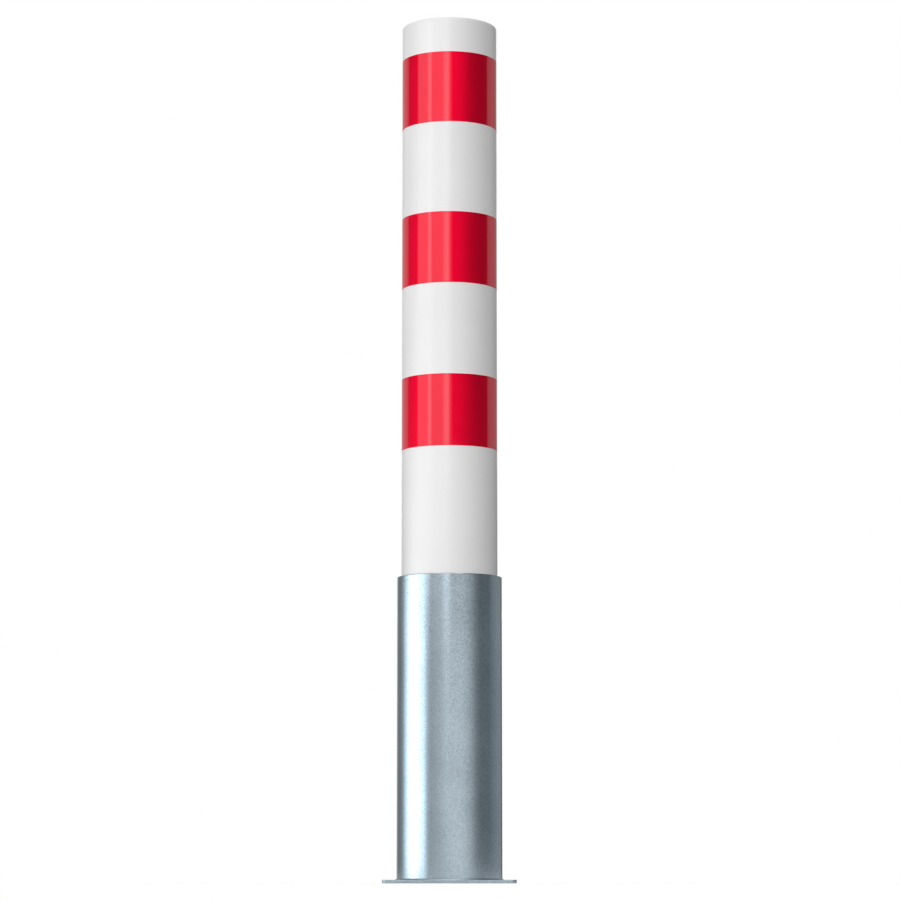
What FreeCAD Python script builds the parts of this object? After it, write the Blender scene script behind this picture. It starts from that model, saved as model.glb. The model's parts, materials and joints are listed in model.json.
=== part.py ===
"""Removable steel safety bollard in a galvanised ground socket, with a quarter-turn key lock.

Millimetres, +Z up. The origin is the centre of the base plate's underside. +Y is the lock's side.

The socket is a tube on a square base plate. The post stands in it on a rubber pad, centred by two
plastic rings and kept from turning by a lug. A triangular key turns the spindle, whose crank pin
lifts the cam bar. The bar's two sloping slots push the locking bolts out through the post's wall
and into the socket's wall. The shapes are drawn unlocked, with the bolts drawn in.
"""
import FreeCAD, Part
import math
import os

from FreeCAD import Vector

# Standard tubes and plate
POST_RADIUS = 139.7 / 2
POST_WALL = 4.0
SOCKET_RADIUS = 152.4 / 2
SOCKET_WALL = 3.6
PLATE_SIDE = 190.0
PLATE_THICKNESS = 5.0

# Heights
SOCKET_LENGTH = 435.0
SOCKET_RIM_CHAMFER = 0.8
POST_ABOVE_SOCKET = 820.0
PAD_THICKNESS = 4.0
SOCKET_TOP = PLATE_THICKNESS + SOCKET_LENGTH
POST_FOOT = PLATE_THICKNESS + PAD_THICKNESS
POST_TOP = SOCKET_TOP + POST_ABOVE_SOCKET

# Inner faces
POST_BORE = POST_RADIUS - POST_WALL
SOCKET_BORE = SOCKET_RADIUS - SOCKET_WALL
WELD_GAP = 0.05

# Base plate
PLATE_CORNER_RADIUS = 8.0
PLATE_EDGE_BREAK = 0.5
DRAIN_RADIUS = 20.0
ANCHOR_SPACING = 158.0
ANCHOR_HOLE_RADIUS = 7.0

# Guides in the socket
RING_HEIGHT = 25.0
RING_BORE = POST_RADIUS + 0.5
RING_LEAD_IN = 1.2
UPPER_RING_FOOT = SOCKET_TOP - 33.0
LOWER_RING_FOOT = 30.0
PAD_RADIUS = 64.0
PAD_HOLE_RADIUS = 46.0
LUG_INNER, LUG_OUTER = 26.0, 42.0
LUG_WIDTH = 8.0
LUG_HEIGHT = 30.0
LUG_CLEARANCE = 1.0
LUG_CREST_CHAMFER = 2.0

# Post ends
CAP_THICKNESS = 5.0
CAP_EDGE_RADIUS = 3.0
SPIGOT_LENGTH = 12.0
SPIGOT_WALL = 4.0
FOOT_THICKNESS = 6.0

# Red bands of reflective film, counted from the top
BAND_TOP_MARGIN = 52.0
BAND_HEIGHT = 105.0
BAND_GAP = 134.0
FILM_THICKNESS = 0.3
BAND_NAMES = ("band_upper", "band_middle", "band_lower")

# Lock: spindle along Y, bolts along X
SPINDLE_Z = SOCKET_TOP + 75.0
BOLT_Z = SOCKET_TOP - 55.0
KEY_TURN = math.radians(90.0)
CRANK_THROW = 12.0
BAR_LIFT = 2 * CRANK_THROW * math.sin(KEY_TURN / 2)
BOLT_THROW = 6.5

# Lock housing and its cover
HOUSING_RADIUS = 22.0
HOUSING_INNER_Y = 16.0
HOUSING_FACE_Y = POST_RADIUS + 2.5
HOUSING_RIM_CHAMFER = 1.0
KEY_RECESS_RADIUS = 13.0
KEY_RECESS_DEPTH = 12.0
KEY_RECESS_Y = HOUSING_FACE_Y - KEY_RECESS_DEPTH
COVER_RADIUS = 15.5
COVER_THICKNESS = 1.2
COVER_GAP = 0.4
COVER_Y = HOUSING_FACE_Y + COVER_GAP
COVER_EAR_RADIUS = 4.0
PIVOT_Z = SPINDLE_Z + 17.5
PIVOT_RADIUS = 1.5
PIVOT_HEAD_RADIUS = 3.2
PIVOT_HEAD_THICKNESS = 1.2
PIVOT_HEAD_FILLET = 0.8
PIVOT_DEPTH = 6.0
PIVOT_CLEARANCE = 0.1

# Spindle, crank and retainers
SPINDLE_RADIUS = 7.0
SPINDLE_CLEARANCE = 0.08
SPINDLE_FLANGE_RADIUS = 9.5
SPINDLE_FLANGE_THICKNESS = 2.0
KEY_HEAD_LENGTH = 7.0
KEY_HEAD_CORNERS = 3
KEY_HEAD_TIP_RADIUS = 8.5
KEY_HEAD_POINT_RADIUS = 10.5
SPINDLE_SQUARE = 10.0
CRANK_INNER_Y, CRANK_OUTER_Y = 4.0, 10.0
CRANK_RADIUS = 22.0
CRANK_PIN_RADIUS = 4.0
CRANK_PIN_END_Y = -5.0
CLIP_GROOVE_RADIUS = 6.5
CLIP_Y = 12.6
CLIP_THICKNESS = 1.2
CLIP_PLAY = 0.1
CLIP_RADIUS = 10.0
CLIP_OPENING = math.radians(50.0)
WASHER_Y = 14.2
WASHER_THICKNESS = 1.4
WASHER_RADIUS = 11.0

# Cam bar, a flat plate in the XZ plane
BAR_HALF_THICKNESS = 3.0
BAR_STEM_HALF_WIDTH = 12.0
BAR_HEAD_HALF_WIDTH = 22.0
BAR_HEAD_BELOW, BAR_HEAD_ABOVE = 22.0, 6.0
CAM_HALF_WIDTH = 36.0
CAM_ABOVE, CAM_BELOW = 12.0, 28.0
BAR_TAIL_BELOW = 78.0
CRANK_SLOT_RADIUS = 4.9
CRANK_SLOT_MARGIN = 0.5
CAM_PIN_RADIUS = 3.0
CAM_SLOT_RADIUS = 3.4
CAM_PIN_X = 20.0
BAR_CORNER_RADIUS = 3.0

# Cross bars that guide the cam bar
GUIDE_THICKNESS = 5.0
GUIDE_HALF_WIDTH = 20.0
GUIDE_CLEARANCE = 0.5
GUIDE_FEET = {"bar_guide_upper": SOCKET_TOP + 15.0, "bar_guide_lower": BOLT_Z - 55.0}

# Locking bolts and their bushes
BOLT_RADIUS = 8.0
BOLT_INNER_X = 12.0
BOLT_TIP_X = POST_RADIUS - 0.65
BOLT_TIP_CHAMFER = 1.0
FORK_END_X = 40.0
FORK_HALF_GAP = 3.5
BOLT_PIN_HALF_LENGTH = 8.0
BUSH_INNER_X = 48.0
BUSH_RADIUS = 13.0
BUSH_CLEARANCE = 0.08
POST_BOLT_HOLE_RADIUS = 8.4
SOCKET_BOLT_HOLE_RADIUS = 8.8

OUT = "parts"
X_AXIS, Y_AXIS, Z_AXIS = Vector(1, 0, 0), Vector(0, 1, 0), Vector(0, 0, 1)
SIDES = {"left": -1, "right": 1}


# Basic shapes

def disc(radius, bottom, top, x=0.0, y=0.0):
    """An upright cylinder."""
    return Part.makeCylinder(radius, top - bottom, Vector(x, y, bottom), Z_AXIS)


def ring(outer, inner, bottom, top):
    """An upright tube."""
    return disc(outer, bottom, top).cut(disc(inner, bottom, top))


def rod_x(radius, start, end, z):
    """A cylinder along X."""
    return Part.makeCylinder(radius, end - start, Vector(start, 0, z), X_AXIS)


def rod_y(radius, start, end, z, x=0.0):
    """A cylinder along Y."""
    return Part.makeCylinder(radius, end - start, Vector(x, start, z), Y_AXIS)


def block(x, y, z):
    """A box between two limits on each axis."""
    size = (x[1] - x[0], y[1] - y[0], z[1] - z[0])
    return Part.makeBox(*size, Vector(x[0], y[0], z[0]))


def slot_y(radius, start, end, half_depth):
    """A round-ended slot between two (x, z) points, cut along Y."""
    (x0, z0), (x1, z1) = start, end
    length = math.hypot(x1 - x0, z1 - z0)
    across = Vector(z0 - z1, 0, x1 - x0) * (radius / length)
    corners = [
        Vector(x0, -half_depth, z0) + across,
        Vector(x1, -half_depth, z1) + across,
        Vector(x1, -half_depth, z1) - across,
        Vector(x0, -half_depth, z0) - across,
    ]
    middle = Part.Face(Part.makePolygon(corners + corners[:1])).extrude(Y_AXIS * (2 * half_depth))
    ends = [rod_y(radius, -half_depth, half_depth, z, x) for x, z in (start, end)]
    return middle.fuse(ends).removeSplitter()


def facing(shape, side):
    """The shape as drawn for the right side, or turned half round for the left."""
    if side < 0:
        shape.rotate(Vector(0, 0, 0), Z_AXIS, 180)
    return shape


def upright_edges(shape):
    """The straight edges that run along Z."""
    def upright(edge):
        a, b = edge.firstVertex().Point, edge.lastVertex().Point
        return a.distanceToPoint(b) > 1 and math.hypot(b.x - a.x, b.y - a.y) < 1e-6

    return [e for e in shape.Edges if upright(e) and isinstance(e.Curve, Part.Line)]


def edges_along_y(shape):
    """The straight edges that run along Y."""
    def across(edge):
        a, b = edge.firstVertex().Point, edge.lastVertex().Point
        return a.distanceToPoint(b) > 1 and math.hypot(b.x - a.x, b.z - a.z) < 1e-6

    return [e for e in shape.Edges if across(e) and isinstance(e.Curve, Part.Line)]


def circles_at(shape, radius, z):
    """The circular edges of one radius about Z at one height."""
    return [
        e for e in shape.Edges
        if isinstance(e.Curve, Part.Circle)
        and abs(e.Curve.Radius - radius) < 1e-6
        and abs(e.Curve.Center.z - z) < 1e-6
    ]


# Ground socket

def base_plate():
    half = PLATE_SIDE / 2
    plate = block((-half, half), (-half, half), (0, PLATE_THICKNESS))
    plate = plate.makeFillet(PLATE_CORNER_RADIUS, upright_edges(plate))
    top = [e for e in plate.Edges if min(v.Z for v in e.Vertexes) > PLATE_THICKNESS - 1e-6]
    plate = plate.makeChamfer(PLATE_EDGE_BREAK, top)
    place = ANCHOR_SPACING / 2
    holes = [
        disc(ANCHOR_HOLE_RADIUS, 0, PLATE_THICKNESS, x, y)
        for x in (-place, place) for y in (-place, place)
    ]
    return plate.cut(holes + [disc(DRAIN_RADIUS, 0, PLATE_THICKNESS)])


def socket_tube():
    tube = ring(SOCKET_RADIUS, SOCKET_BORE, PLATE_THICKNESS, SOCKET_TOP)
    rim = circles_at(tube, SOCKET_RADIUS, SOCKET_TOP) + circles_at(tube, SOCKET_BORE, SOCKET_TOP)
    tube = tube.makeChamfer(SOCKET_RIM_CHAMFER, rim)
    return tube.cut(rod_x(SOCKET_BOLT_HOLE_RADIUS, -SOCKET_RADIUS - 1, SOCKET_RADIUS + 1, BOLT_Z))


def guide_ring(bottom):
    top = bottom + RING_HEIGHT
    shape = ring(SOCKET_BORE - WELD_GAP, RING_BORE, bottom, top)
    return shape.makeChamfer(RING_LEAD_IN, circles_at(shape, RING_BORE, top))


def rest_pad():
    return ring(PAD_RADIUS, PAD_HOLE_RADIUS, PLATE_THICKNESS, POST_FOOT)


def anti_turn_lug():
    half = LUG_WIDTH / 2
    top = PLATE_THICKNESS + LUG_HEIGHT
    lug = block((LUG_INNER, LUG_OUTER), (-half, half), (PLATE_THICKNESS, top))
    crest = [e for e in lug.Edges if min(v.Z for v in e.Vertexes) > top - 1e-6]
    return lug.makeChamfer(LUG_CREST_CHAMFER, crest)


# Post

def post_tube():
    tube = ring(POST_RADIUS, POST_BORE, POST_FOOT, POST_TOP - CAP_THICKNESS)
    lock_hole = rod_y(HOUSING_RADIUS + WELD_GAP, 0, POST_RADIUS + 1, SPINDLE_Z)
    bolt_holes = rod_x(POST_BOLT_HOLE_RADIUS, -POST_RADIUS - 1, POST_RADIUS + 1, BOLT_Z)
    return tube.cut([lock_hole, bolt_holes])


def top_cap():
    plate = disc(POST_RADIUS, POST_TOP - CAP_THICKNESS, POST_TOP)
    plate = plate.makeFillet(CAP_EDGE_RADIUS, circles_at(plate, POST_RADIUS, POST_TOP))
    outer = POST_BORE - WELD_GAP
    seat = POST_TOP - CAP_THICKNESS
    return plate.fuse(ring(outer, outer - SPIGOT_WALL, seat - SPIGOT_LENGTH, seat)).removeSplitter()


def red_band(index):
    top = POST_TOP - BAND_TOP_MARGIN - index * (BAND_HEIGHT + BAND_GAP)
    return ring(POST_RADIUS + FILM_THICKNESS, POST_RADIUS, top - BAND_HEIGHT, top)


def foot_plate():
    top = POST_FOOT + FOOT_THICKNESS
    plate = ring(POST_BORE - WELD_GAP, DRAIN_RADIUS, POST_FOOT, top)
    half = LUG_WIDTH / 2 + LUG_CLEARANCE
    reach = (LUG_INNER - LUG_CLEARANCE, LUG_OUTER + LUG_CLEARANCE)
    return plate.cut(block(reach, (-half, half), (POST_FOOT, top)))


# Lock, fixed pieces

def lock_housing():
    body = rod_y(HOUSING_RADIUS, HOUSING_INNER_Y, HOUSING_FACE_Y, SPINDLE_Z)
    rim = [
        e for e in body.Edges
        if isinstance(e.Curve, Part.Circle) and abs(e.Curve.Center.y - HOUSING_FACE_Y) < 1e-6
    ]
    body = body.makeChamfer(HOUSING_RIM_CHAMFER, rim)
    bore = rod_y(SPINDLE_RADIUS + SPINDLE_CLEARANCE, HOUSING_INNER_Y, HOUSING_FACE_Y, SPINDLE_Z)
    recess = rod_y(KEY_RECESS_RADIUS, KEY_RECESS_Y, HOUSING_FACE_Y, SPINDLE_Z)
    rivet_hole = rod_y(PIVOT_RADIUS, HOUSING_FACE_Y - PIVOT_DEPTH, HOUSING_FACE_Y, PIVOT_Z)
    return body.cut([bore, recess, rivet_hole])


def cover_rivet():
    shank_end = COVER_Y + COVER_THICKNESS + PIVOT_CLEARANCE
    shank = rod_y(PIVOT_RADIUS, HOUSING_FACE_Y - PIVOT_DEPTH, shank_end, PIVOT_Z)
    head_end = shank_end + PIVOT_HEAD_THICKNESS
    head = rod_y(PIVOT_HEAD_RADIUS, shank_end, head_end, PIVOT_Z)
    crown = [
        e for e in head.Edges
        if isinstance(e.Curve, Part.Circle) and abs(e.Curve.Center.y - head_end) < 1e-6
    ]
    return shank.fuse(head.makeFillet(PIVOT_HEAD_FILLET, crown)).removeSplitter()


def bar_guide(bottom):
    top = bottom + GUIDE_THICKNESS
    strip = block((-POST_RADIUS, POST_RADIUS), (-GUIDE_HALF_WIDTH, GUIDE_HALF_WIDTH), (bottom, top))
    strip = strip.common(disc(POST_BORE - WELD_GAP, bottom, top))
    half_x = BAR_STEM_HALF_WIDTH + GUIDE_CLEARANCE
    half_y = BAR_HALF_THICKNESS + GUIDE_CLEARANCE
    return strip.cut(block((-half_x, half_x), (-half_y, half_y), (bottom, top)))


def bolt_bush(side):
    bush = rod_x(BUSH_RADIUS, BUSH_INNER_X, POST_RADIUS, BOLT_Z)
    bush = bush.common(disc(POST_BORE - WELD_GAP, BOLT_Z - BUSH_RADIUS, BOLT_Z + BUSH_RADIUS))
    bush = bush.cut(rod_x(BOLT_RADIUS + BUSH_CLEARANCE, BUSH_INNER_X, POST_RADIUS, BOLT_Z))
    return facing(bush, side)


# Lock, moving pieces

def key_cover():
    outer = COVER_Y + COVER_THICKNESS
    flap = rod_y(COVER_RADIUS, COVER_Y, outer, SPINDLE_Z)
    neck = block((-COVER_EAR_RADIUS, COVER_EAR_RADIUS), (COVER_Y, outer), (SPINDLE_Z, PIVOT_Z))
    ear = rod_y(COVER_EAR_RADIUS, COVER_Y, outer, PIVOT_Z)
    flap = flap.fuse([neck, ear]).removeSplitter()
    return flap.cut(rod_y(PIVOT_RADIUS + PIVOT_CLEARANCE, COVER_Y, outer, PIVOT_Z))


def key_spindle():
    flange_end = KEY_RECESS_Y + SPINDLE_FLANGE_THICKNESS
    head_end = flange_end + KEY_HEAD_LENGTH
    points = [
        Vector(KEY_HEAD_POINT_RADIUS * math.sin(turn), flange_end,
               SPINDLE_Z + KEY_HEAD_POINT_RADIUS * math.cos(turn))
        for turn in (corner * 2 * math.pi / KEY_HEAD_CORNERS for corner in range(KEY_HEAD_CORNERS))
    ]
    triangle = Part.Face(Part.makePolygon(points + points[:1]))
    head = triangle.extrude(Y_AXIS * KEY_HEAD_LENGTH)
    head = head.common(rod_y(KEY_HEAD_TIP_RADIUS, flange_end, head_end, SPINDLE_Z))
    flange = rod_y(SPINDLE_FLANGE_RADIUS, KEY_RECESS_Y, flange_end, SPINDLE_Z)
    shaft = rod_y(SPINDLE_RADIUS, CRANK_OUTER_Y, KEY_RECESS_Y, SPINDLE_Z)
    half = SPINDLE_SQUARE / 2
    square = block((-half, half), (CRANK_INNER_Y, CRANK_OUTER_Y), (SPINDLE_Z - half, SPINDLE_Z + half))
    groove_end = CLIP_Y + CLIP_THICKNESS + CLIP_PLAY
    groove = rod_y(SPINDLE_RADIUS + 1, CLIP_Y - CLIP_PLAY, groove_end, SPINDLE_Z)
    groove = groove.cut(rod_y(CLIP_GROOVE_RADIUS, CLIP_Y - CLIP_PLAY, groove_end, SPINDLE_Z))
    return shaft.fuse([flange, head, square]).removeSplitter().cut(groove)


def crank_disc():
    plate = rod_y(CRANK_RADIUS, CRANK_INNER_Y, CRANK_OUTER_Y, SPINDLE_Z)
    half = SPINDLE_SQUARE / 2 + WELD_GAP
    socket = block((-half, half), (CRANK_INNER_Y, CRANK_OUTER_Y), (SPINDLE_Z - half, SPINDLE_Z + half))
    x, z = crank_pin_place()
    pin = rod_y(CRANK_PIN_RADIUS, CRANK_PIN_END_Y, CRANK_OUTER_Y, z, x)
    return plate.cut(socket).fuse(pin).removeSplitter()


def crank_pin_place():
    """(x, z) of the crank pin with the lock open, half the key's turn below the spindle's level."""
    angle = -KEY_TURN / 2
    return CRANK_THROW * math.cos(angle), SPINDLE_Z + CRANK_THROW * math.sin(angle)


def circlip():
    end = CLIP_Y + CLIP_THICKNESS
    clip = rod_y(CLIP_RADIUS, CLIP_Y, end, SPINDLE_Z)
    clip = clip.cut(rod_y(CLIP_GROOVE_RADIUS + WELD_GAP, CLIP_Y, end, SPINDLE_Z))
    half = CLIP_RADIUS * math.sin(CLIP_OPENING / 2)
    return clip.cut(block((-half, half), (CLIP_Y, end), (SPINDLE_Z, SPINDLE_Z + CLIP_RADIUS + 1)))


def friction_washer():
    end = WASHER_Y + WASHER_THICKNESS
    washer = rod_y(WASHER_RADIUS, WASHER_Y, end, SPINDLE_Z)
    return washer.cut(rod_y(SPINDLE_RADIUS + SPINDLE_CLEARANCE, WASHER_Y, end, SPINDLE_Z))


def cam_bar():
    depth = (-BAR_HALF_THICKNESS, BAR_HALF_THICKNESS)
    stem_width = (-BAR_STEM_HALF_WIDTH, BAR_STEM_HALF_WIDTH)
    head_width = (-BAR_HEAD_HALF_WIDTH, BAR_HEAD_HALF_WIDTH)
    cam_width = (-CAM_HALF_WIDTH, CAM_HALF_WIDTH)
    head = block(head_width, depth, (SPINDLE_Z - BAR_HEAD_BELOW, SPINDLE_Z + BAR_HEAD_ABOVE))
    cam = block(cam_width, depth, (BOLT_Z - CAM_BELOW, BOLT_Z + CAM_ABOVE))
    stem = block(stem_width, depth, (BOLT_Z - BAR_TAIL_BELOW, SPINDLE_Z))
    bar = stem.fuse([head, cam]).removeSplitter()
    bar = bar.makeFillet(BAR_CORNER_RADIUS, edges_along_y(bar))
    x, z = crank_pin_place()
    inner, outer = x - CRANK_SLOT_MARGIN, CRANK_THROW + CRANK_SLOT_MARGIN
    slots = [slot_y(CRANK_SLOT_RADIUS, (inner, z), (outer, z), BAR_HALF_THICKNESS)]
    for side in SIDES.values():
        drawn_in = (side * CAM_PIN_X, BOLT_Z)
        thrown = (side * (CAM_PIN_X + BOLT_THROW), BOLT_Z - BAR_LIFT)
        slots.append(slot_y(CAM_SLOT_RADIUS, drawn_in, thrown, BAR_HALF_THICKNESS))
    return bar.cut(slots)


def locking_bolt(side):
    bolt = rod_x(BOLT_RADIUS, BOLT_INNER_X, BOLT_TIP_X, BOLT_Z)
    tip = [
        e for e in bolt.Edges
        if isinstance(e.Curve, Part.Circle) and abs(e.Curve.Center.x - BOLT_TIP_X) < 1e-6
    ]
    bolt = bolt.makeChamfer(BOLT_TIP_CHAMFER, tip)
    fork = block((BOLT_INNER_X, FORK_END_X), (-FORK_HALF_GAP, FORK_HALF_GAP),
                 (BOLT_Z - BOLT_RADIUS, BOLT_Z + BOLT_RADIUS))
    pin_hole = rod_y(CAM_PIN_RADIUS, -BOLT_RADIUS, BOLT_RADIUS, BOLT_Z, CAM_PIN_X)
    return facing(bolt.cut([fork, pin_hole]), side)


def bolt_pin(side):
    pin = rod_y(CAM_PIN_RADIUS, -BOLT_PIN_HALF_LENGTH, BOLT_PIN_HALF_LENGTH, BOLT_Z, CAM_PIN_X)
    return facing(pin, side)


def all_parts():
    """Every node's name and its solid."""
    parts = {
        "base_plate": base_plate(),
        "socket_tube": socket_tube(),
        "guide_ring_upper": guide_ring(UPPER_RING_FOOT),
        "guide_ring_lower": guide_ring(LOWER_RING_FOOT),
        "rest_pad": rest_pad(),
        "anti_turn_lug": anti_turn_lug(),
        "post_tube": post_tube(),
        "top_cap": top_cap(),
        "foot_plate": foot_plate(),
        "lock_housing": lock_housing(),
        "cover_rivet": cover_rivet(),
        "key_cover": key_cover(),
        "key_spindle": key_spindle(),
        "crank_disc": crank_disc(),
        "circlip": circlip(),
        "friction_washer": friction_washer(),
        "cam_bar": cam_bar(),
    }
    for index, name in enumerate(BAND_NAMES):
        parts[name] = red_band(index)
    for name, bottom in GUIDE_FEET.items():
        parts[name] = bar_guide(bottom)
    for name, side in SIDES.items():
        parts["bolt_bush_" + name] = bolt_bush(side)
        parts["locking_bolt_" + name] = locking_bolt(side)
        parts["bolt_pin_" + name] = bolt_pin(side)
    return parts


def main():
    os.makedirs(OUT, exist_ok=True)
    for name, shape in all_parts().items():
        solids = len(shape.Solids)
        if not shape.isValid() or solids != 1:
            raise ValueError(f"{name} is not one valid solid: {solids} solids")
        shape.exportStep(os.path.join(OUT, name + ".step"))
        print(f"{name}: {shape.Volume / 1000:.2f} cm3")
    print(f"bar lift {BAR_LIFT:.3f} mm, {BAR_LIFT / KEY_TURN:.4f} mm per radian")
    print(f"bolt throw {BOLT_THROW:.3f} mm, {BOLT_THROW / KEY_TURN:.4f} mm per radian")


main()
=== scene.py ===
"""Looks of the removable steel bollard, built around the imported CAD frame.

Metres, +Z up, origin under the middle of the base plate. The lock is on the +Y side, and the
camera looks along +Y from the other side, at the height of the base plate.
"""
import json
import math

import bmesh
import bpy
from mathutils import Matrix, Vector


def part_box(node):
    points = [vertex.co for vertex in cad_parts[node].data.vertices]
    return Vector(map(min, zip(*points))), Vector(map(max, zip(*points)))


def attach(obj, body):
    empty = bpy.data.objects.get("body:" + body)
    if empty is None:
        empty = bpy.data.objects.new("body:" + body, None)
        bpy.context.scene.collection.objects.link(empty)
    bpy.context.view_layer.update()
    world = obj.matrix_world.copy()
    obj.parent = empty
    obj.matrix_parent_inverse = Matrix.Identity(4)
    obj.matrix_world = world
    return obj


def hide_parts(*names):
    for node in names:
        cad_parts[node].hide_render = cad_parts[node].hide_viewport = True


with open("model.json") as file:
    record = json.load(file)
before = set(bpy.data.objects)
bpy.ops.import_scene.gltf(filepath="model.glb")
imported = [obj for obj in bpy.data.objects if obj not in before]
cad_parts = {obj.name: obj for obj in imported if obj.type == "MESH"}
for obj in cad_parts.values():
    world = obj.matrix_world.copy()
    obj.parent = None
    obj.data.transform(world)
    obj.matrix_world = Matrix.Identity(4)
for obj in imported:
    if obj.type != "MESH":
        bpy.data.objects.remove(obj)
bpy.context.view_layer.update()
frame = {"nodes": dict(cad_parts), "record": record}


def middle(node):
    """The middle of a CAD node's box."""
    low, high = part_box(node)
    return (low + high) / 2


# Sizes read from the frame
POST_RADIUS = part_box("post_tube")[1].x
POST_BOTTOM, POST_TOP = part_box("post_tube")[0].z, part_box("post_tube")[1].z
CAP_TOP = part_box("top_cap")[1].z
SPIGOT_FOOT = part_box("top_cap")[0].z
SOCKET_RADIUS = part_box("socket_tube")[1].x
SOCKET_FOOT, SOCKET_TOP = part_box("socket_tube")[0].z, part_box("socket_tube")[1].z
PLATE_HALF, PLATE_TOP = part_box("base_plate")[1].x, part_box("base_plate")[1].z
LOCK_Z = middle("lock_housing").z
HOUSING_RADIUS = (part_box("lock_housing")[1].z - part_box("lock_housing")[0].z) / 2
HOUSING_BACK, HOUSING_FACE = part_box("lock_housing")[0].y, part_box("lock_housing")[1].y
COVER_BACK, COVER_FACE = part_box("key_cover")[0].y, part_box("key_cover")[1].y
RIVET_Z = middle("cover_rivet").z
RIVET_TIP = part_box("cover_rivet")[1].y
BOLT_Z = middle("locking_bolt_left").z

# Sizes inside a node, the same as the design's
POST_WALL = 0.004
SOCKET_WALL = 0.0036
SPIGOT_WALL = 0.004
WELD_GAP = 0.00005
POST_BORE = POST_RADIUS - POST_WALL
SOCKET_BORE = SOCKET_RADIUS - SOCKET_WALL
HOUSING_HOLE = HOUSING_RADIUS + WELD_GAP
POST_BOLT_HOLE = 0.0084
SOCKET_BOLT_HOLE = 0.0088
SPIGOT_RADIUS = POST_BORE - WELD_GAP
SPIGOT_BORE = SPIGOT_RADIUS - SPIGOT_WALL
CAP_EDGE = 0.003
GUIDE_BORE = POST_RADIUS + 0.0005
GUIDE_RADIUS = SOCKET_BORE - WELD_GAP
GUIDE_LEAD_IN = 0.0012
DRAIN_HOLE = 0.020
ANCHOR_HOLE = 0.007
ANCHOR_PLACE = 0.079
PLATE_CORNER = 0.008
KEY_RECESS = 0.013
KEY_RECESS_DEPTH = 0.012
SPINDLE_BORE = 0.00708
COVER_RADIUS = 0.0155
COVER_EAR = 0.004
COVER_PIVOT_HOLE = 0.0016
RIVET_SHANK = 0.0015
RIVET_HEAD = 0.0032
RIVET_HEAD_THICKNESS = 0.0012

# Edges and details of the visual meshes
TUBE_EDGE = 0.0003
SPIGOT_EDGE = 0.0005
SPIGOT_CORNER = 0.0015
SOCKET_RIM = 0.0008
PLATE_EDGE = 0.0005
GUIDE_EDGE = 0.0004
COVER_EDGE = 0.00025
HOUSING_EDGE = 0.0009
HOUSING_BACK_EDGE = 0.0005
RECESS_EDGE = 0.0004
RECESS_CORNER = 0.0006
BORE_EDGE = 0.0003
RIVET_RIM = 0.0002
RIVET_DOME = 0.0011
DOME_RADIUS = 0.0105
DOME_RISE = 0.0009
DOME_SINK = 0.0002
LAP_START, LAP_END = math.radians(128), math.radians(138)
LAP_STEP = math.radians(0.06)
LAP_THICKNESS = 1.9
WELD_ROOT = 0.0003
BASE_WELD_LEG = 0.0017
HOUSING_WELD_LEG = 0.0013

# Fineness and tolerances of the meshes
ROUND = 256
HOLE_ROUND = 96
HOLE_ROOM = 1.25
PAST_TUBE = 1.2
PIN_HOLE = 0.00005
JOIN_DISTANCE = 1e-6
UPRIGHT_TOLERANCE = 1e-7
SHARP_ANGLE = math.radians(35)
BEVEL_ANGLE = math.radians(50)

# Floor, lights and camera
FLOOR_SOLID = 0.45
FLOOR_RADIUS = 1.5
FLOOR_DROP = 0.0002
SOFTBOX_SIZE = 1.1
SOFTBOX_DISTANCE = 2.6
CAMERA_DISTANCE = 65 * POST_RADIUS
CAMERA_ASIDE = 0.0008
CAMERA_TILT = 7.87  # degrees up
CAMERA_LENS = 125.4  # mm
CAMERA_REACH = 100

# Radiance round the horizon as (degrees to the right of the camera, radiance, how much bluer)
UPPER_BAND = (
    (-180, 1.30, 0), (-160, 1.00, 0), (-140, 0.10, 0), (-125, 0.10, 0), (-95, 0.50, 0),
    (-60, 0.50, 0), (-38, 0.70, 0), (-32, 2.20, 0), (-17, 2.20, 0), (-12, 1.40, 0), (2, 1.20, 0),
    (6, 1.20, 0), (14, 3.20, 0), (32, 3.20, 0), (40, 0.12, 0), (60, 0.05, 0), (140, 0.06, 0),
    (165, 0.70, 0), (180, 1.30, 0),
)
HIGH_BAND = (
    (-180, 1.20, 0), (-168, 1.00, 0), (-157, 0.50, 0), (-136, 0.52, 0), (-121, 0.45, 0),
    (-116, 0.01, 0), (-85, 0.01, 0), (-79, 1.25, 0), (-60, 1.25, 0), (-54, 1.6, 0), (-51, 3.0, 0),
    (-46, 3.0, 0), (-43, 1.25, 0), (-17, 1.25, 0), (-11, 2.5, 0), (-3, 2.8, 0), (0, 1.20, 0),
    (4, 0.50, 0), (8, 0.02, 0), (102, 0.02, 0), (108, 0.62, 0), (125, 0.50, 0), (142, 0.32, 0),
    (158, 0.34, 0), (168, 1.00, 0), (180, 1.20, 0),
)
LOW_BAND = (
    (-180, 1.10, 0), (-168, 0.90, 0), (-156, 0.28, 0), (-138, 0.22, 0.03), (-122, 0.42, 0.06),
    (-108, 1.45, 0.10), (-90, 2.7, 0), (-75, 2.2, 0), (-58, 1.65, 0.12), (-49, 0.60, 0.04),
    (-42, 0.46, 0), (-20, 0.61, 0), (-5, 0.74, 0), (10, 0.82, 0), (28, 0.80, 0), (45, 0.59, 0),
    (60, 0.30, 0.03), (72, 0.20, 0.07), (96, 0.20, 0.09), (110, 0.26, 0.07), (130, 0.32, 0.04),
    (151, 0.30, 0), (157, 0.12, 0), (166, 0.14, 0), (172, 0.90, 0), (180, 1.10, 0),
)
OVERHEAD = 0.45
BELOW = 0.25

# The radiance that a full 1.0 stands for in the light, since a colour ramp holds no more than 1.0
PEAK = 3.5

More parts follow.
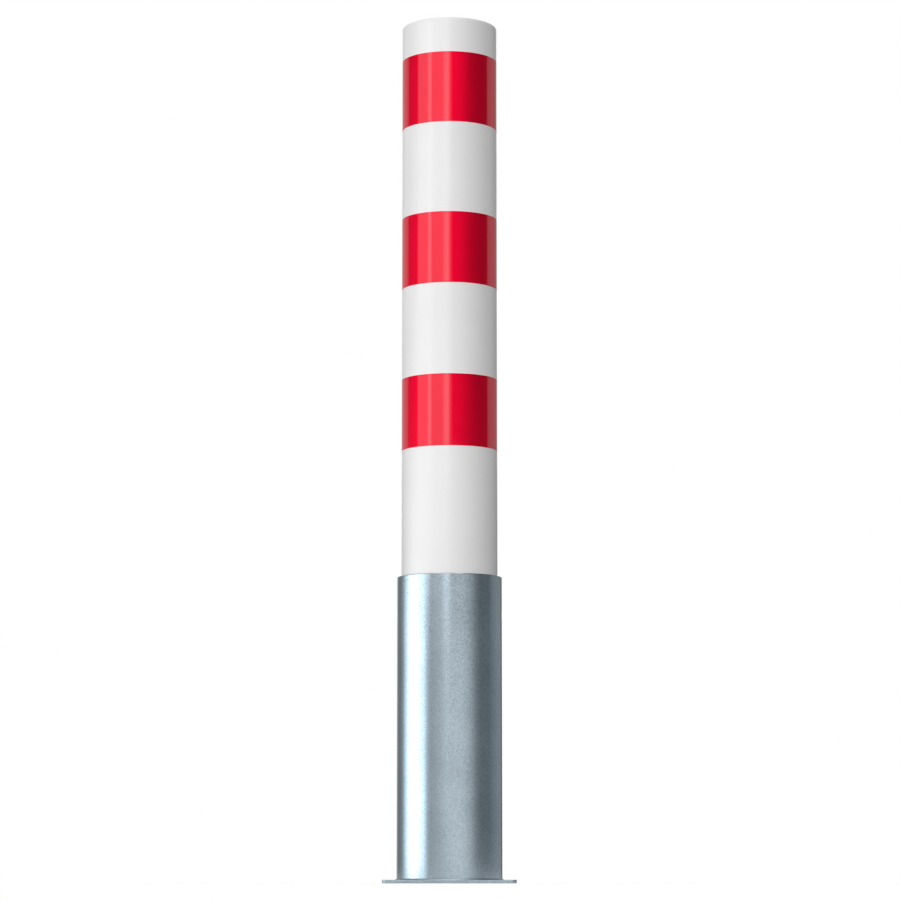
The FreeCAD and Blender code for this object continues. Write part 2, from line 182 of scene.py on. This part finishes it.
# Where one band gives way to the next, as the sine of the height above the horizon
BELOW_TO_LOW = (-0.55, -0.25)
LOW_TO_HIGH = (math.sin(math.radians(7.1)), math.sin(math.radians(7.8)))
HIGH_TO_UPPER = (math.sin(math.radians(17)), math.sin(math.radians(22)))
UPPER_TO_OVERHEAD = (0.75, 0.95)


# Mesh building

def fillet(corners, steps=5):
    """A closed outline with rounded corners, from (u, v, radius) corners. A radius of 0 stays sharp."""
    points = []
    for i, (u, v, radius) in enumerate(corners):
        here = Vector((u, v))
        if radius == 0:
            points.append(here)
            continue
        before = (Vector(corners[i - 1][:2]) - here).normalized()
        after = (Vector(corners[(i + 1) % len(corners)][:2]) - here).normalized()
        half = before.angle(after) / 2
        centre = here + (before + after).normalized() * (radius / math.sin(half))
        start = here + before * (radius / math.tan(half)) - centre
        end = here + after * (radius / math.tan(half)) - centre
        turn = start.angle_signed(end)
        points += [centre + Matrix.Rotation(-turn * k / steps, 2) @ start for k in range(steps + 1)]
    return points


def applied(piece):
    """Replaces a piece's mesh by what its modifiers make of it."""
    evaluated = piece.evaluated_get(bpy.context.evaluated_depsgraph_get())
    mesh = bpy.data.meshes.new_from_object(evaluated)
    piece.modifiers.clear()
    old, piece.data = piece.data, mesh
    bpy.data.meshes.remove(old)


def shade(piece):
    """Smooth shading that stays sharp at edges and keeps large faces flat beside small fillets."""
    for polygon in piece.data.polygons:
        polygon.use_smooth = True
    piece.data.set_sharp_from_angle(angle=SHARP_ANGLE)
    weighted = piece.modifiers.new("weighted", "WEIGHTED_NORMAL")
    weighted.keep_sharp = True
    weighted.weight = 100
    applied(piece)


def make_piece(name, shape, body, material, replaces=()):
    """A new piece from (vertices, faces) that rides on a body and takes its finish from a slot."""
    verts, faces = shape
    mesh = bpy.data.meshes.new(name)
    mesh.from_pydata([tuple(v) for v in verts], [], faces)
    bm = bmesh.new()
    bm.from_mesh(mesh)
    bmesh.ops.recalc_face_normals(bm, faces=bm.faces)
    bm.to_mesh(mesh)
    bm.free()
    piece = bpy.data.objects.new(name, mesh)
    bpy.context.scene.collection.objects.link(piece)
    mesh.materials.append(material)
    shade(piece)
    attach(piece, body)
    if replaces:
        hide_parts(*replaces)
    return piece


def beside(height, radius):
    """The heights just under and just over a hole."""
    return [height - radius * HOLE_ROOM, height + radius * HOLE_ROOM]


def ringed(outline, heights):
    """Adds points to the upright sides of an outline at the given heights."""
    points = []
    for i, start in enumerate(outline):
        end = outline[(i + 1) % len(outline)]
        points.append(start)
        if abs(start[0] - end[0]) < UPRIGHT_TOLERANCE:
            low, high = sorted((start[1], end[1]))
            between = sorted((h for h in heights if low < h < high), reverse=start[1] > end[1])
            points += [(start[0], h) for h in between]
    return points


def looped(rings, closed=True):
    """Vertices and faces of a loop of rings of points. Open rings leave out their closing side."""
    count = len(rings[0])
    verts = [point for ring in rings for point in ring]
    faces = []
    for k in range(len(rings)):
        near, far = k * count, (k + 1) % len(rings) * count
        faces += [(near + i, far + i, far + (i + 1) % count, near + (i + 1) % count)
                  for i in range(count if closed else count - 1)]
    return verts, faces


def revolve(outline, segments=ROUND, closed=True):
    """Vertices and faces of an outline of (radius, height) points turned about Z."""
    angles = [2 * math.pi * s / segments for s in range(segments)]
    rings = [[(r * math.cos(angle), r * math.sin(angle), h) for r, h in outline] for angle in angles]
    return looped(rings, closed)


def prism(outline, low, high):
    """Vertices and faces of an outline of (x, y) points drawn out from one height to another."""
    count = len(outline)
    verts = [(x, y, h) for h in (low, high) for x, y in outline]
    faces = [tuple(range(count)), tuple(range(2 * count - 1, count - 1, -1))]
    faces += [(i, (i + 1) % count, count + (i + 1) % count, count + i) for i in range(count)]
    return verts, faces


def facing_y(shape, z):
    """Turns a shape made about Z to lie about Y, at height z."""
    verts, faces = shape
    return [(x, h, z - y) for x, y, h in verts], faces


def cylinder_cutter(radius, start, end, segments=HOLE_ROUND):
    """A closed cylinder between two points, for cutting holes."""
    axis = Vector(end) - Vector(start)
    turn = axis.to_track_quat("Z", "Y").to_matrix().to_4x4()
    bm = bmesh.new()
    bmesh.ops.create_cone(bm, cap_ends=True, segments=segments, radius1=radius, radius2=radius,
                          depth=axis.length)
    bm.transform(Matrix.Translation((Vector(start) + Vector(end)) / 2) @ turn)
    mesh = bpy.data.meshes.new("cutter")
    bm.to_mesh(mesh)
    bm.free()
    cutter = bpy.data.objects.new("cutter", mesh)
    bpy.context.scene.collection.objects.link(cutter)
    return cutter


def join_points(piece):
    """Joins the points that a cut leaves almost on top of each other."""
    bm = bmesh.new()
    bm.from_mesh(piece.data)
    bmesh.ops.remove_doubles(bm, verts=bm.verts, dist=JOIN_DISTANCE)
    bm.to_mesh(piece.data)
    bm.free()


def cut_holes(piece, holes):
    """Cuts cylinders out of a piece, each as (radius, start, end) and, where it differs, its sides."""
    cutters = [cylinder_cutter(*hole) for hole in holes]
    for cutter in cutters:
        boolean = piece.modifiers.new("hole", "BOOLEAN")
        boolean.operation = "DIFFERENCE"
        boolean.solver = "EXACT"
        boolean.object = cutter
    applied(piece)
    join_points(piece)
    shade(piece)
    for cutter in cutters:
        mesh = cutter.data
        bpy.data.objects.remove(cutter)
        bpy.data.meshes.remove(mesh)


def soften(piece, width):
    """Rounds the sharp edges of a piece."""
    bevel = piece.modifiers.new("soft_edge", "BEVEL")
    bevel.width = width
    bevel.segments = 3
    bevel.limit_method = "ANGLE"
    bevel.angle_limit = BEVEL_ANGLE
    applied(piece)
    shade(piece)


# Node building

MIX_FACTOR, MIX_FIRST, MIX_SECOND, MIX_COLOR = 0, 6, 7, 2


class Tree:
    """A node tree, with short calls for the nodes that the materials and the world share."""

    def __init__(self, tree):
        self.tree = tree

    def add(self, kind, **settings):
        """A new node of a kind, such as Math, with its settings."""
        node = self.tree.nodes.new("ShaderNode" + kind)
        for name, value in settings.items():
            setattr(node, name, value)
        return node

    def give(self, node, name, value):
        """Links a socket to a node's input, or sets the input to a value."""
        if isinstance(value, bpy.types.NodeSocket):
            self.tree.links.new(value, node.inputs[name])
        else:
            node.inputs[name].default_value = value

    def math(self, operation, *values):
        node = self.add("Math", operation=operation)
        for index, value in enumerate(values):
            self.give(node, index, value)
        return node.outputs["Value"]

    def ramp(self, source, low, high, to_low=0.0, to_high=1.0):
        """A value stretched from one range to another, smoothly clamped."""
        node = self.add("MapRange", interpolation_type="SMOOTHSTEP")
        inputs = (("Value", source), ("From Min", low), ("From Max", high),
                  ("To Min", to_low), ("To Max", to_high))
        for name, value in inputs:
            self.give(node, name, value)
        return node.outputs["Result"]

    def mix(self, factor, first, second):
        """Mixes two colours, each three numbers or a socket."""
        node = self.add("Mix", data_type="RGBA")
        self.give(node, MIX_FACTOR, factor)
        for index, value in ((MIX_FIRST, first), (MIX_SECOND, second)):
            self.give(node, index, (*value, 1.0) if isinstance(value, tuple) else value)
        return node.outputs[MIX_COLOR]


class Finish(Tree):
    """A material on a Principled shader, with its textures in object coordinates."""

    def __init__(self, name, base_color, roughness, metallic=0.0):
        self.material = bpy.data.materials.new(name)
        self.material.use_nodes = True
        super().__init__(self.material.node_tree)
        self.shader = self.tree.nodes["Principled BSDF"]
        self.give(self.shader, "Base Color", (*base_color, 1.0))
        self.give(self.shader, "Roughness", roughness)
        self.give(self.shader, "Metallic", metallic)
        self.coords = self.add("TexCoord").outputs["Object"]

    def stretched(self, scale):
        """Object coordinates with a scale on each axis."""
        mapping = self.add("Mapping")
        self.give(mapping, "Vector", self.coords)
        self.give(mapping, "Scale", scale)
        return mapping.outputs["Vector"]

    def noise(self, scale, detail, vector=None, roughness=0.5):
        node = self.add("TexNoise")
        self.give(node, "Vector", vector or self.coords)
        self.give(node, "Scale", scale)
        self.give(node, "Detail", detail)
        self.give(node, "Roughness", roughness)
        return node.outputs["Fac"]

    def cells(self, scale, output="Distance"):
        """Cells, as the distance to each one's middle or as a colour for each."""
        node = self.add("TexVoronoi")
        self.give(node, "Vector", self.coords)
        self.give(node, "Scale", scale)
        return node.outputs[output]

    def bump(self, height, distance, strength, under=None):
        """A normal from heights, laid over another normal where one is given."""
        node = self.add("Bump")
        self.give(node, "Height", height)
        self.give(node, "Distance", distance)
        self.give(node, "Strength", strength)
        if under is not None:
            self.give(node, "Normal", under)
        return node.outputs["Normal"]

    def finish(self, color=None, roughness=None, normal=None):
        """Gives the shader what was made for it, and returns the material."""
        for name, source in (("Base Color", color), ("Roughness", roughness), ("Normal", normal)):
            if source is not None:
                self.give(self.shader, name, source)
        return self.material


def powder_coat():
    """Semi-gloss white powder coat with fine orange peel and faint handling marks."""
    coat = Finish("white_powder_coat", (0.80, 0.80, 0.79), 0.22)
    tone = coat.ramp(coat.noise(9, 3), 0.35, 0.65)
    color = coat.mix(tone, (0.812, 0.80, 0.797), (0.832, 0.82, 0.817))
    marks = coat.noise(40, 4, coat.stretched((1, 1, 0.12)))
    rough = coat.ramp(marks, 0.3, 0.75, 0.19, 0.27)
    return coat.finish(color, rough, coat.bump(coat.noise(620, 1), 0.00004, 0.35))


def red_film():
    """Glossy red reflective film. Its beaded layer shows as a fine grain under a clear face."""
    film = Finish("red_film", (0.80, 0.004, 0.030), 0.42, 0.6)
    beads = film.ramp(film.cells(1500), 0.0, 0.8)
    color = film.mix(beads, (0.92, 0.002, 0.036), (0.85, 0.001, 0.030))
    wear = film.noise(55, 3)
    film.give(film.shader, "Specular IOR Level", 0.0)
    film.give(film.shader, "Coat Weight", 1.0)
    film.give(film.shader, "Coat IOR", 1.5)
    film.give(film.shader, "Coat Roughness", film.ramp(wear, 0.3, 0.7, 0.03, 0.06))
    film.give(film.shader, "Coat Normal", film.bump(film.noise(90, 2), 0.00012, 0.05))
    return film.finish(color, film.ramp(wear, 0.3, 0.7, 0.39, 0.45))


def galvanised(name, bright=1.0, rough_low=0.12, rough_high=0.16):
    """Hot-dip zinc: a fine frosty grain over soft clouds, with a few darker specks."""
    base = tuple(c * bright for c in (0.50, 0.595, 0.665))
    zinc = Finish(name, base, 0.25, 1.0)
    clouds = zinc.ramp(zinc.noise(16, 3), 0.3, 0.7)
    frost = zinc.ramp(zinc.noise(860, 2, roughness=0.7), 0.32, 0.68)
    spangle = zinc.add("SeparateColor")
    zinc.give(spangle, "Color", zinc.cells(340, "Color"))
    blend = zinc.math("ADD", zinc.math("MULTIPLY", clouds, 0.20), zinc.math("MULTIPLY", frost, 0.60))
    blend = zinc.math("ADD", blend, zinc.math("MULTIPLY", spangle.outputs["Red"], 0.20))
    dark_zinc, light_zinc, speck_zinc = (tuple(c * k for c in base) for k in (0.74, 1.24, 0.55))
    plain = zinc.mix(blend, dark_zinc, light_zinc)
    specks = zinc.ramp(zinc.cells(150), 0.0, 0.20, 0.9, 0.0)
    picked = zinc.ramp(zinc.noise(23, 2), 0.48, 0.58)
    color = zinc.mix(zinc.math("MULTIPLY", specks, picked), plain, speck_zinc)
    rough = zinc.ramp(blend, 0.2, 0.8, rough_high, rough_low)
    waves = zinc.bump(zinc.noise(9, 2), 0.0004, 0.08)
    return zinc.finish(color, rough, zinc.bump(frost, 0.00002, 0.45, under=waves))


def turned_steel():
    """Stainless steel faced in a lathe: fine rings about the lock's axis."""
    steel = Finish("stainless_steel", (0.60, 0.59, 0.57), 0.26, 1.0)
    split = steel.add("SeparateXYZ")
    steel.give(split, "Vector", steel.coords)
    height = steel.math("SUBTRACT", split.outputs["Z"], LOCK_Z)
    across = steel.math("POWER", split.outputs["X"], 2.0)
    radius = steel.math("SQRT", steel.math("ADD", across, steel.math("POWER", height, 2.0)))
    rings = steel.add("TexNoise", noise_dimensions="1D")
    steel.give(rings, "W", radius)
    steel.give(rings, "Scale", 2600)
    rough = steel.ramp(steel.noise(120, 3), 0.3, 0.7, 0.20, 0.34)
    color = steel.mix(steel.noise(60, 2), (0.55, 0.54, 0.52), (0.64, 0.63, 0.61))
    return steel.finish(color, rough, steel.bump(rings.outputs["Fac"], 0.00004, 0.5))


def brushed(name, light, dark, scale, rough_low, rough_high):
    """Metal with a grain along one direction, from a scale on each axis."""
    metal = Finish(name, light, (rough_low + rough_high) / 2, 1.0)
    grain = metal.noise(1, 4, metal.stretched(scale))
    color = metal.mix(grain, dark, light)
    rough = metal.ramp(grain, 0.3, 0.7, rough_low, rough_high)
    return metal.finish(color, rough, metal.bump(grain, 0.00003, 0.5))


def moulded(name, dark, light, rough_low, rough_high, scale):
    """Matt plastic or rubber with a fine skin."""
    stuff = Finish(name, dark, (rough_low + rough_high) / 2)
    skin = stuff.noise(scale, 3)
    color = stuff.mix(skin, dark, light)
    rough = stuff.ramp(stuff.noise(scale / 6, 2), 0.3, 0.7, rough_low, rough_high)
    return stuff.finish(color, rough, stuff.bump(skin, 0.00008, 0.5))


MATERIALS = {
    "white_powder_coat": powder_coat(),
    "red_film": red_film(),
    "galvanised_steel": galvanised("galvanised_steel"),
    "black_polyamide": moulded("black_polyamide", (0.018, 0.018, 0.019), (0.032, 0.032, 0.034),
                               0.38, 0.52, 900),
    "black_rubber": moulded("black_rubber", (0.014, 0.014, 0.014), (0.028, 0.027, 0.026),
                            0.62, 0.80, 600),
    "stainless_steel": turned_steel(),
    "zinc_plated_steel": brushed("zinc_plated_steel", (0.66, 0.68, 0.70), (0.56, 0.58, 0.59),
                                 (160, 1500, 160), 0.22, 0.36),
    "spring_steel": brushed("spring_steel", (0.10, 0.10, 0.11), (0.06, 0.06, 0.065),
                            (900, 200, 900), 0.34, 0.48),
    "bronze": brushed("bronze", (0.62, 0.43, 0.21), (0.52, 0.34, 0.16), (1200, 150, 150), 0.24, 0.38),
}
COVER_STEEL = brushed("brushed_cover_steel", (0.63, 0.62, 0.60), (0.53, 0.52, 0.51),
                      (70, 70, 2200), 0.20, 0.32)
BOLT_STEEL = brushed("turned_bolt_steel", (0.64, 0.63, 0.61), (0.54, 0.53, 0.52),
                     (2200, 60, 60), 0.20, 0.34)
PLATE_ZINC = galvanised("plate_zinc", 0.82, 0.28, 0.36)
WELD_ZINC = galvanised("weld_zinc", 0.78, 0.28, 0.38)


# Post

def post_shell():
    """The coated tube, with its lock hole and bolt holes."""
    outline = fillet([
        (POST_RADIUS, POST_BOTTOM, TUBE_EDGE), (POST_RADIUS, POST_TOP, TUBE_EDGE / 2),
        (POST_BORE, POST_TOP, 0), (POST_BORE, POST_BOTTOM, TUBE_EDGE),
    ], 3)
    outline = ringed(outline, beside(LOCK_Z, HOUSING_HOLE) + beside(BOLT_Z, POST_BOLT_HOLE))
    tube = make_piece("post_shell", revolve(outline), "post",
                      MATERIALS["white_powder_coat"], ("post_tube",))
    reach = POST_RADIUS * PAST_TUBE
    cut_holes(tube, [
        (HOUSING_HOLE, (0, 0, LOCK_Z), (0, reach, LOCK_Z)),
        (POST_BOLT_HOLE, (-reach, 0, BOLT_Z), (reach, 0, BOLT_Z)),
    ])


def cap_shell():
    """The flat cap with its small rounded edge, and the spigot that centres it in the tube."""
    centre = 0.0005
    outline = fillet([
        (centre, POST_TOP, 0), (SPIGOT_BORE, POST_TOP, SPIGOT_CORNER),
        (SPIGOT_BORE, SPIGOT_FOOT, SPIGOT_EDGE), (SPIGOT_RADIUS, SPIGOT_FOOT, SPIGOT_EDGE),
        (SPIGOT_RADIUS, POST_TOP, 0), (POST_RADIUS, POST_TOP, TUBE_EDGE / 2),
        (POST_RADIUS, CAP_TOP, CAP_EDGE), (centre, CAP_TOP, 0),
    ], 8)
    verts, faces = revolve(outline, closed=False)
    count = len(outline)
    underside, top = (list(range(first, len(verts), count)) for first in (0, count - 1))
    make_piece("cap_shell", (verts, faces + [underside, top]), "post",
               MATERIALS["white_powder_coat"], ("top_cap",))


def film_band(node):
    """A strip of film once round the post, lapped over its own start at the back left."""
    low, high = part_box(node)
    film = high.x - POST_RADIUS
    corner = film / 3
    angles = [math.pi * k / ROUND for k in range(2 * ROUND)]
    angles += [LAP_START - LAP_STEP, LAP_START, LAP_END, LAP_END + LAP_STEP]
    rings = []
    for angle in sorted(angles):
        lapped = LAP_START <= angle <= LAP_END
        outer = POST_RADIUS + film * (LAP_THICKNESS if lapped else 1.0)
        section = [(POST_RADIUS, low.z), (outer - corner, low.z), (outer, low.z + corner),
                   (outer, high.z - corner), (outer - corner, high.z), (POST_RADIUS, high.z)]
        rings.append([(r * math.cos(angle), r * math.sin(angle), z) for r, z in section])
    make_piece(node + "_film", looped(rings), "post", MATERIALS["red_film"], (node,))


# Weld beads

def ripple(turn, pools, depth):
    """How full a bead is at a point of the joint, from 1 - depth to 1: a row of overlapping pools."""
    pool_share, drift_share = 0.7, 0.3
    drift_waves, drift_phase = 5, 1.3
    phase = turn * pools % 1.0
    drift = 0.5 + 0.5 * math.sin(2 * math.pi * turn * drift_waves + drift_phase)
    return 1.0 - depth * (phase ** 2 * pool_share + drift * drift_share)


def bead_section(leg, bulge, steps=8):
    """Points (out, up) of a convex fillet bead in the corner between two faces."""
    points = [(-WELD_ROOT, -WELD_ROOT)]
    for k in range(steps + 1):
        t = k / steps
        swell = bulge * math.sin(math.pi * t)
        points.append((leg * t + swell, leg * (1 - t) + swell))
    return points


def bead(place, leg, pools, depth, bulge, steps):
    """A bead round a joint, where place(angle, out, up) gives a point of it."""
    rings = []
    for s in range(steps):
        turn = s / steps
        here = leg * ripple(turn, pools, depth)
        rings.append([place(2 * math.pi * turn, out, up)
                      for out, up in bead_section(here, here * bulge)])
    return looped(rings)


def base_weld():
    """The fillet weld between the socket tube and the base plate, under its zinc."""
    def place(angle, out, up):
        r = SOCKET_RADIUS + out
        return r * math.cos(angle), r * math.sin(angle), PLATE_TOP + up

    shape = bead(place, BASE_WELD_LEG, pools=150, depth=0.16, bulge=0.16, steps=1536)
    make_piece("base_weld", shape, "ground_socket", WELD_ZINC)


def housing_weld():
    """The small seal weld round the lock housing, coated with the post."""
    def place(angle, out, up):
        r = HOUSING_RADIUS + out
        x = r * math.sin(angle)
        return x, math.sqrt(POST_RADIUS ** 2 - x ** 2) + up, LOCK_Z + r * math.cos(angle)

    shape = bead(place, HOUSING_WELD_LEG, pools=46, depth=0.2, bulge=0.15, steps=512)
    make_piece("housing_weld", shape, "post", MATERIALS["white_powder_coat"])


# Ground socket

def socket_shell():
    """The galvanised tube, its rim rounded by zinc, with its two bolt holes."""
    outline = fillet([
        (SOCKET_RADIUS, SOCKET_FOOT, 0), (SOCKET_RADIUS, SOCKET_TOP, SOCKET_RIM),
        (SOCKET_BORE, SOCKET_TOP, SOCKET_RIM), (SOCKET_BORE, SOCKET_FOOT, 0),
    ])
    outline = ringed(outline, beside(BOLT_Z, SOCKET_BOLT_HOLE))
    tube = make_piece("socket_shell", revolve(outline), "ground_socket",
                      MATERIALS["galvanised_steel"], ("socket_tube",))
    reach = SOCKET_RADIUS * PAST_TUBE
    cut_holes(tube, [(SOCKET_BOLT_HOLE, (-reach, 0, BOLT_Z), (reach, 0, BOLT_Z))])


def plate_shell():
    """The square plate with rounded corners, anchor holes and a drain, its edges softened by zinc."""
    corners = ((1, 1), (1, -1), (-1, -1), (-1, 1))
    outline = fillet([(x * PLATE_HALF, y * PLATE_HALF, PLATE_CORNER) for x, y in corners], 12)
    plate = make_piece("plate_shell", prism(outline, 0, PLATE_TOP), "ground_socket",
                       PLATE_ZINC, ("base_plate",))
    spots = [(ANCHOR_HOLE, x * ANCHOR_PLACE, y * ANCHOR_PLACE) for x in (-1, 1) for y in (-1, 1)]
    spots.append((DRAIN_HOLE, 0, 0))
    start, end = -0.01, 0.02
    cut_holes(plate, [(radius, (x, y, start), (x, y, end)) for radius, x, y in spots])
    soften(plate, PLATE_EDGE)


def guide_ring_shell(node):
    """A plastic guide ring with a lead-in for the post."""
    low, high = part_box(node)
    outline = fillet([
        (GUIDE_RADIUS, low.z, GUIDE_EDGE), (GUIDE_RADIUS, high.z, GUIDE_EDGE),
        (GUIDE_BORE, high.z, GUIDE_LEAD_IN), (GUIDE_BORE, low.z, GUIDE_EDGE),
    ])
    make_piece(node + "_shell", revolve(outline), "ground_socket",
               MATERIALS["black_polyamide"], (node,))


# Lock, what shows from outside

def housing_shell():
    """The turned boss with its key recess and spindle bore."""
    recess_floor = HOUSING_FACE - KEY_RECESS_DEPTH
    outline = fillet([
        (SPINDLE_BORE, HOUSING_BACK, BORE_EDGE), (SPINDLE_BORE, recess_floor, 0),
        (KEY_RECESS, recess_floor, RECESS_CORNER), (KEY_RECESS, HOUSING_FACE, RECESS_EDGE),
        (HOUSING_RADIUS, HOUSING_FACE, HOUSING_EDGE),
        (HOUSING_RADIUS, HOUSING_BACK, HOUSING_BACK_EDGE),
    ], 6)
    make_piece("housing_shell", facing_y(revolve(outline, segments=160), LOCK_Z), "post",
               MATERIALS["stainless_steel"], ("lock_housing",))


def rivet_shell():
    """The domed rivet that the cover hangs from, with its shank down to the housing."""
    neck = RIVET_TIP - RIVET_HEAD_THICKNESS
    outline = fillet([
        (PIN_HOLE, HOUSING_FACE, 0), (RIVET_SHANK, HOUSING_FACE, 0), (RIVET_SHANK, neck, 0),
        (RIVET_HEAD, neck, RIVET_RIM), (RIVET_HEAD, RIVET_TIP, RIVET_DOME), (PIN_HOLE, RIVET_TIP, 0),
    ], 8)
    make_piece("rivet_shell", facing_y(revolve(outline, segments=64), RIVET_Z), "post",
               COVER_STEEL, ("cover_rivet",))


def cover_outline(radius, ear, rise, steps):
    """A disc with a smaller ear above it, joined by the two lines that touch both."""
    lean = math.asin((radius - ear) / rise)
    points = []
    for k in range(steps + 1):
        angle = lean - (math.pi + 2 * lean) * k / steps
        points.append((radius * math.cos(angle), radius * math.sin(angle)))
    ear_steps = steps // 2
    for k in range(ear_steps + 1):
        angle = math.pi - lean - (math.pi - 2 * lean) * k / ear_steps
        points.append((ear * math.cos(angle), rise + ear * math.sin(angle)))
    return points


def cover_shell():
    """The pressed steel flap over the key recess: flat, with rounded edges and a hole to hang by."""
    outline = cover_outline(COVER_RADIUS, COVER_EAR, RIVET_Z - LOCK_Z, 72)
    verts, faces = prism(outline, COVER_BACK, COVER_FACE)
    upright = [(x, y, LOCK_Z + rise) for x, rise, y in verts]
    cover = make_piece("cover_shell", (upright, faces), "key_cover", COVER_STEEL,
                       ("key_cover",))
    past = 0.002
    cut_holes(cover, [(COVER_PIVOT_HOLE, (0, COVER_BACK - past, RIVET_Z),
                       (0, COVER_FACE + past, RIVET_Z), 48)])
    soften(cover, COVER_EDGE)


def cover_dome():
    """The shallow dome pressed into the middle of the cover."""
    steps = 16
    outline = []
    for k in range(steps):
        rise = DOME_RISE * (0.5 + 0.5 * math.cos(math.pi * k / steps))
        outline.append((max(DOME_RADIUS * k / steps, PIN_HOLE), COVER_FACE + rise))
    outline += [(DOME_RADIUS, COVER_FACE - DOME_SINK), (PIN_HOLE, COVER_FACE - DOME_SINK)]
    make_piece("cover_dome", facing_y(revolve(outline, segments=96), LOCK_Z), "key_cover",
               COVER_STEEL)


# Frame nodes that keep their own shape

def dress_frame_nodes():
    """Gives every CAD node its procedural material. The bolts are turned about their own axis."""
    slots = {part["node"]: part["material_slot"] for part in frame["record"]["subparts"]}
    for name, node in frame["nodes"].items():
        material = BOLT_STEEL if name.startswith("locking_bolt") else MATERIALS[slots[name]]
        if not node.material_slots:
            node.data.materials.append(None)
        for slot in node.material_slots:
            slot.material = material


# Studio

def floor_disc():
    """A pale floor that fades out before the background begins. It throws no diffuse light back."""
    paint = Finish("pale_floor", (0.86, 0.86, 0.86), 1.0)
    paint.give(paint.shader, "Specular IOR Level", 0.0)
    reach = paint.add("VectorMath", operation="LENGTH")
    paint.give(reach, 0, paint.coords)
    solid = paint.ramp(reach.outputs["Value"], FLOOR_SOLID, FLOOR_RADIUS, 1.0, 0.0)
    paint.give(paint.shader, "Alpha", solid)
    paint.finish(paint.mix(paint.noise(3, 3), (0.91, 0.91, 0.91), (0.93, 0.93, 0.93)))
    sides = 128
    angles = [2 * math.pi * k / sides for k in range(sides)]
    verts = [(FLOOR_RADIUS * math.cos(angle), FLOOR_RADIUS * math.sin(angle), 0) for angle in angles]
    mesh = bpy.data.meshes.new("studio_floor")
    mesh.from_pydata(verts, [], [tuple(range(sides))])
    mesh.materials.append(paint.material)
    floor = bpy.data.objects.new("studio_floor", mesh)
    floor.location.z = -FLOOR_DROP
    floor.visible_diffuse = False
    bpy.context.scene.collection.objects.link(floor)


def light_band(world, azimuth, stops):
    """The colour of one band of light by azimuth, with radiances as shares of the peak."""
    band = world.add("ValToRGB")
    elements = band.color_ramp.elements
    while len(elements) < len(stops):
        elements.new(0.5)
    for element, (degrees, radiance, blue) in zip(elements, stops):
        element.position = 0.5 + degrees / 360
        level = radiance / PEAK
        element.color = (level * (1 - blue), level, level * (1 + blue / 2), 1)
    world.give(band, "Fac", azimuth)
    return band.outputs["Color"]


def studio_world():
    """Soft walls of light round the object, and plain white behind it."""
    studio = bpy.data.worlds.new("studio")
    bpy.context.scene.world = studio
    studio.use_nodes = True
    studio.node_tree.nodes.clear()
    world = Tree(studio.node_tree)

    split = world.add("SeparateXYZ")
    world.give(split, "Vector", world.add("TexCoord").outputs["Generated"])
    height = split.outputs["Z"]
    toward_camera = world.math("MULTIPLY", split.outputs["Y"], -1.0)
    turn = world.math("ARCTAN2", split.outputs["X"], toward_camera)
    azimuth = world.math("MULTIPLY_ADD", turn, 0.5 / math.pi, 0.5)
    low, high, upper = (light_band(world, azimuth, band) for band in (LOW_BAND, HIGH_BAND, UPPER_BAND))
    overhead, below = ((level / PEAK,) * 3 for level in (OVERHEAD, BELOW))
    color = world.mix(world.ramp(height, *LOW_TO_HIGH), low, high)
    color = world.mix(world.ramp(height, *HIGH_TO_UPPER), color, upper)
    color = world.mix(world.ramp(height, *UPPER_TO_OVERHEAD), color, overhead)
    color = world.mix(world.ramp(height, *BELOW_TO_LOW), below, color)

    light = world.add("Background")
    world.give(light, "Color", color)
    world.give(light, "Strength", PEAK)
    white = world.add("Background")
    world.give(white, "Color", (1, 1, 1, 1))
    choose = world.add("MixShader")
    world.give(choose, 0, world.add("LightPath").outputs["Is Camera Ray"])
    world.give(choose, 1, light.outputs["Background"])
    world.give(choose, 2, white.outputs["Background"])
    world.give(world.add("OutputWorld"), "Surface", choose.outputs["Shader"])


def softbox(name, azimuth, elevation, aim_height, power):
    """A square area light aimed at the object's axis, unseen by the camera and in reflections.

    The azimuth is to the right of the camera.
    """
    light = bpy.data.lights.new(name, "AREA")
    light.shape = "SQUARE"
    light.size = SOFTBOX_SIZE
    light.energy = power
    box = bpy.data.objects.new(name, light)
    bpy.context.scene.collection.objects.link(box)
    turn, rise = math.radians(azimuth), math.radians(elevation)
    away = Vector((math.sin(turn) * math.cos(rise), -math.cos(turn) * math.cos(rise), math.sin(rise)))
    box.location = Vector((0, 0, aim_height)) + away * SOFTBOX_DISTANCE
    box.rotation_euler = away.to_track_quat("Z", "Y").to_euler()
    box.visible_camera = False
    box.visible_glossy = False


def camera():
    """A long lens at ground level, tilted up until the bollard is centred."""
    data = bpy.data.cameras.new("camera")
    data.lens = CAMERA_LENS
    data.clip_end = CAMERA_REACH
    eye = bpy.data.objects.new("camera", data)
    bpy.context.scene.collection.objects.link(eye)
    eye.location = (CAMERA_ASIDE, -CAMERA_DISTANCE, 0)
    eye.rotation_euler = (math.radians(90 + CAMERA_TILT), 0, 0)
    bpy.context.scene.camera = eye


dress_frame_nodes()
post_shell()
cap_shell()
for band in ("band_upper", "band_middle", "band_lower"):
    film_band(band)
socket_shell()
plate_shell()
base_weld()
for guide in ("guide_ring_upper", "guide_ring_lower"):
    guide_ring_shell(guide)
housing_shell()
housing_weld()
rivet_shell()
cover_shell()
cover_dome()

floor_disc()
studio_world()
softbox("key", azimuth=-20, elevation=12, aim_height=0.5, power=10.6)
softbox("back", azimuth=168, elevation=40, aim_height=0.6, power=26)
camera()
bpy.context.scene.view_settings.view_transform = "Standard"
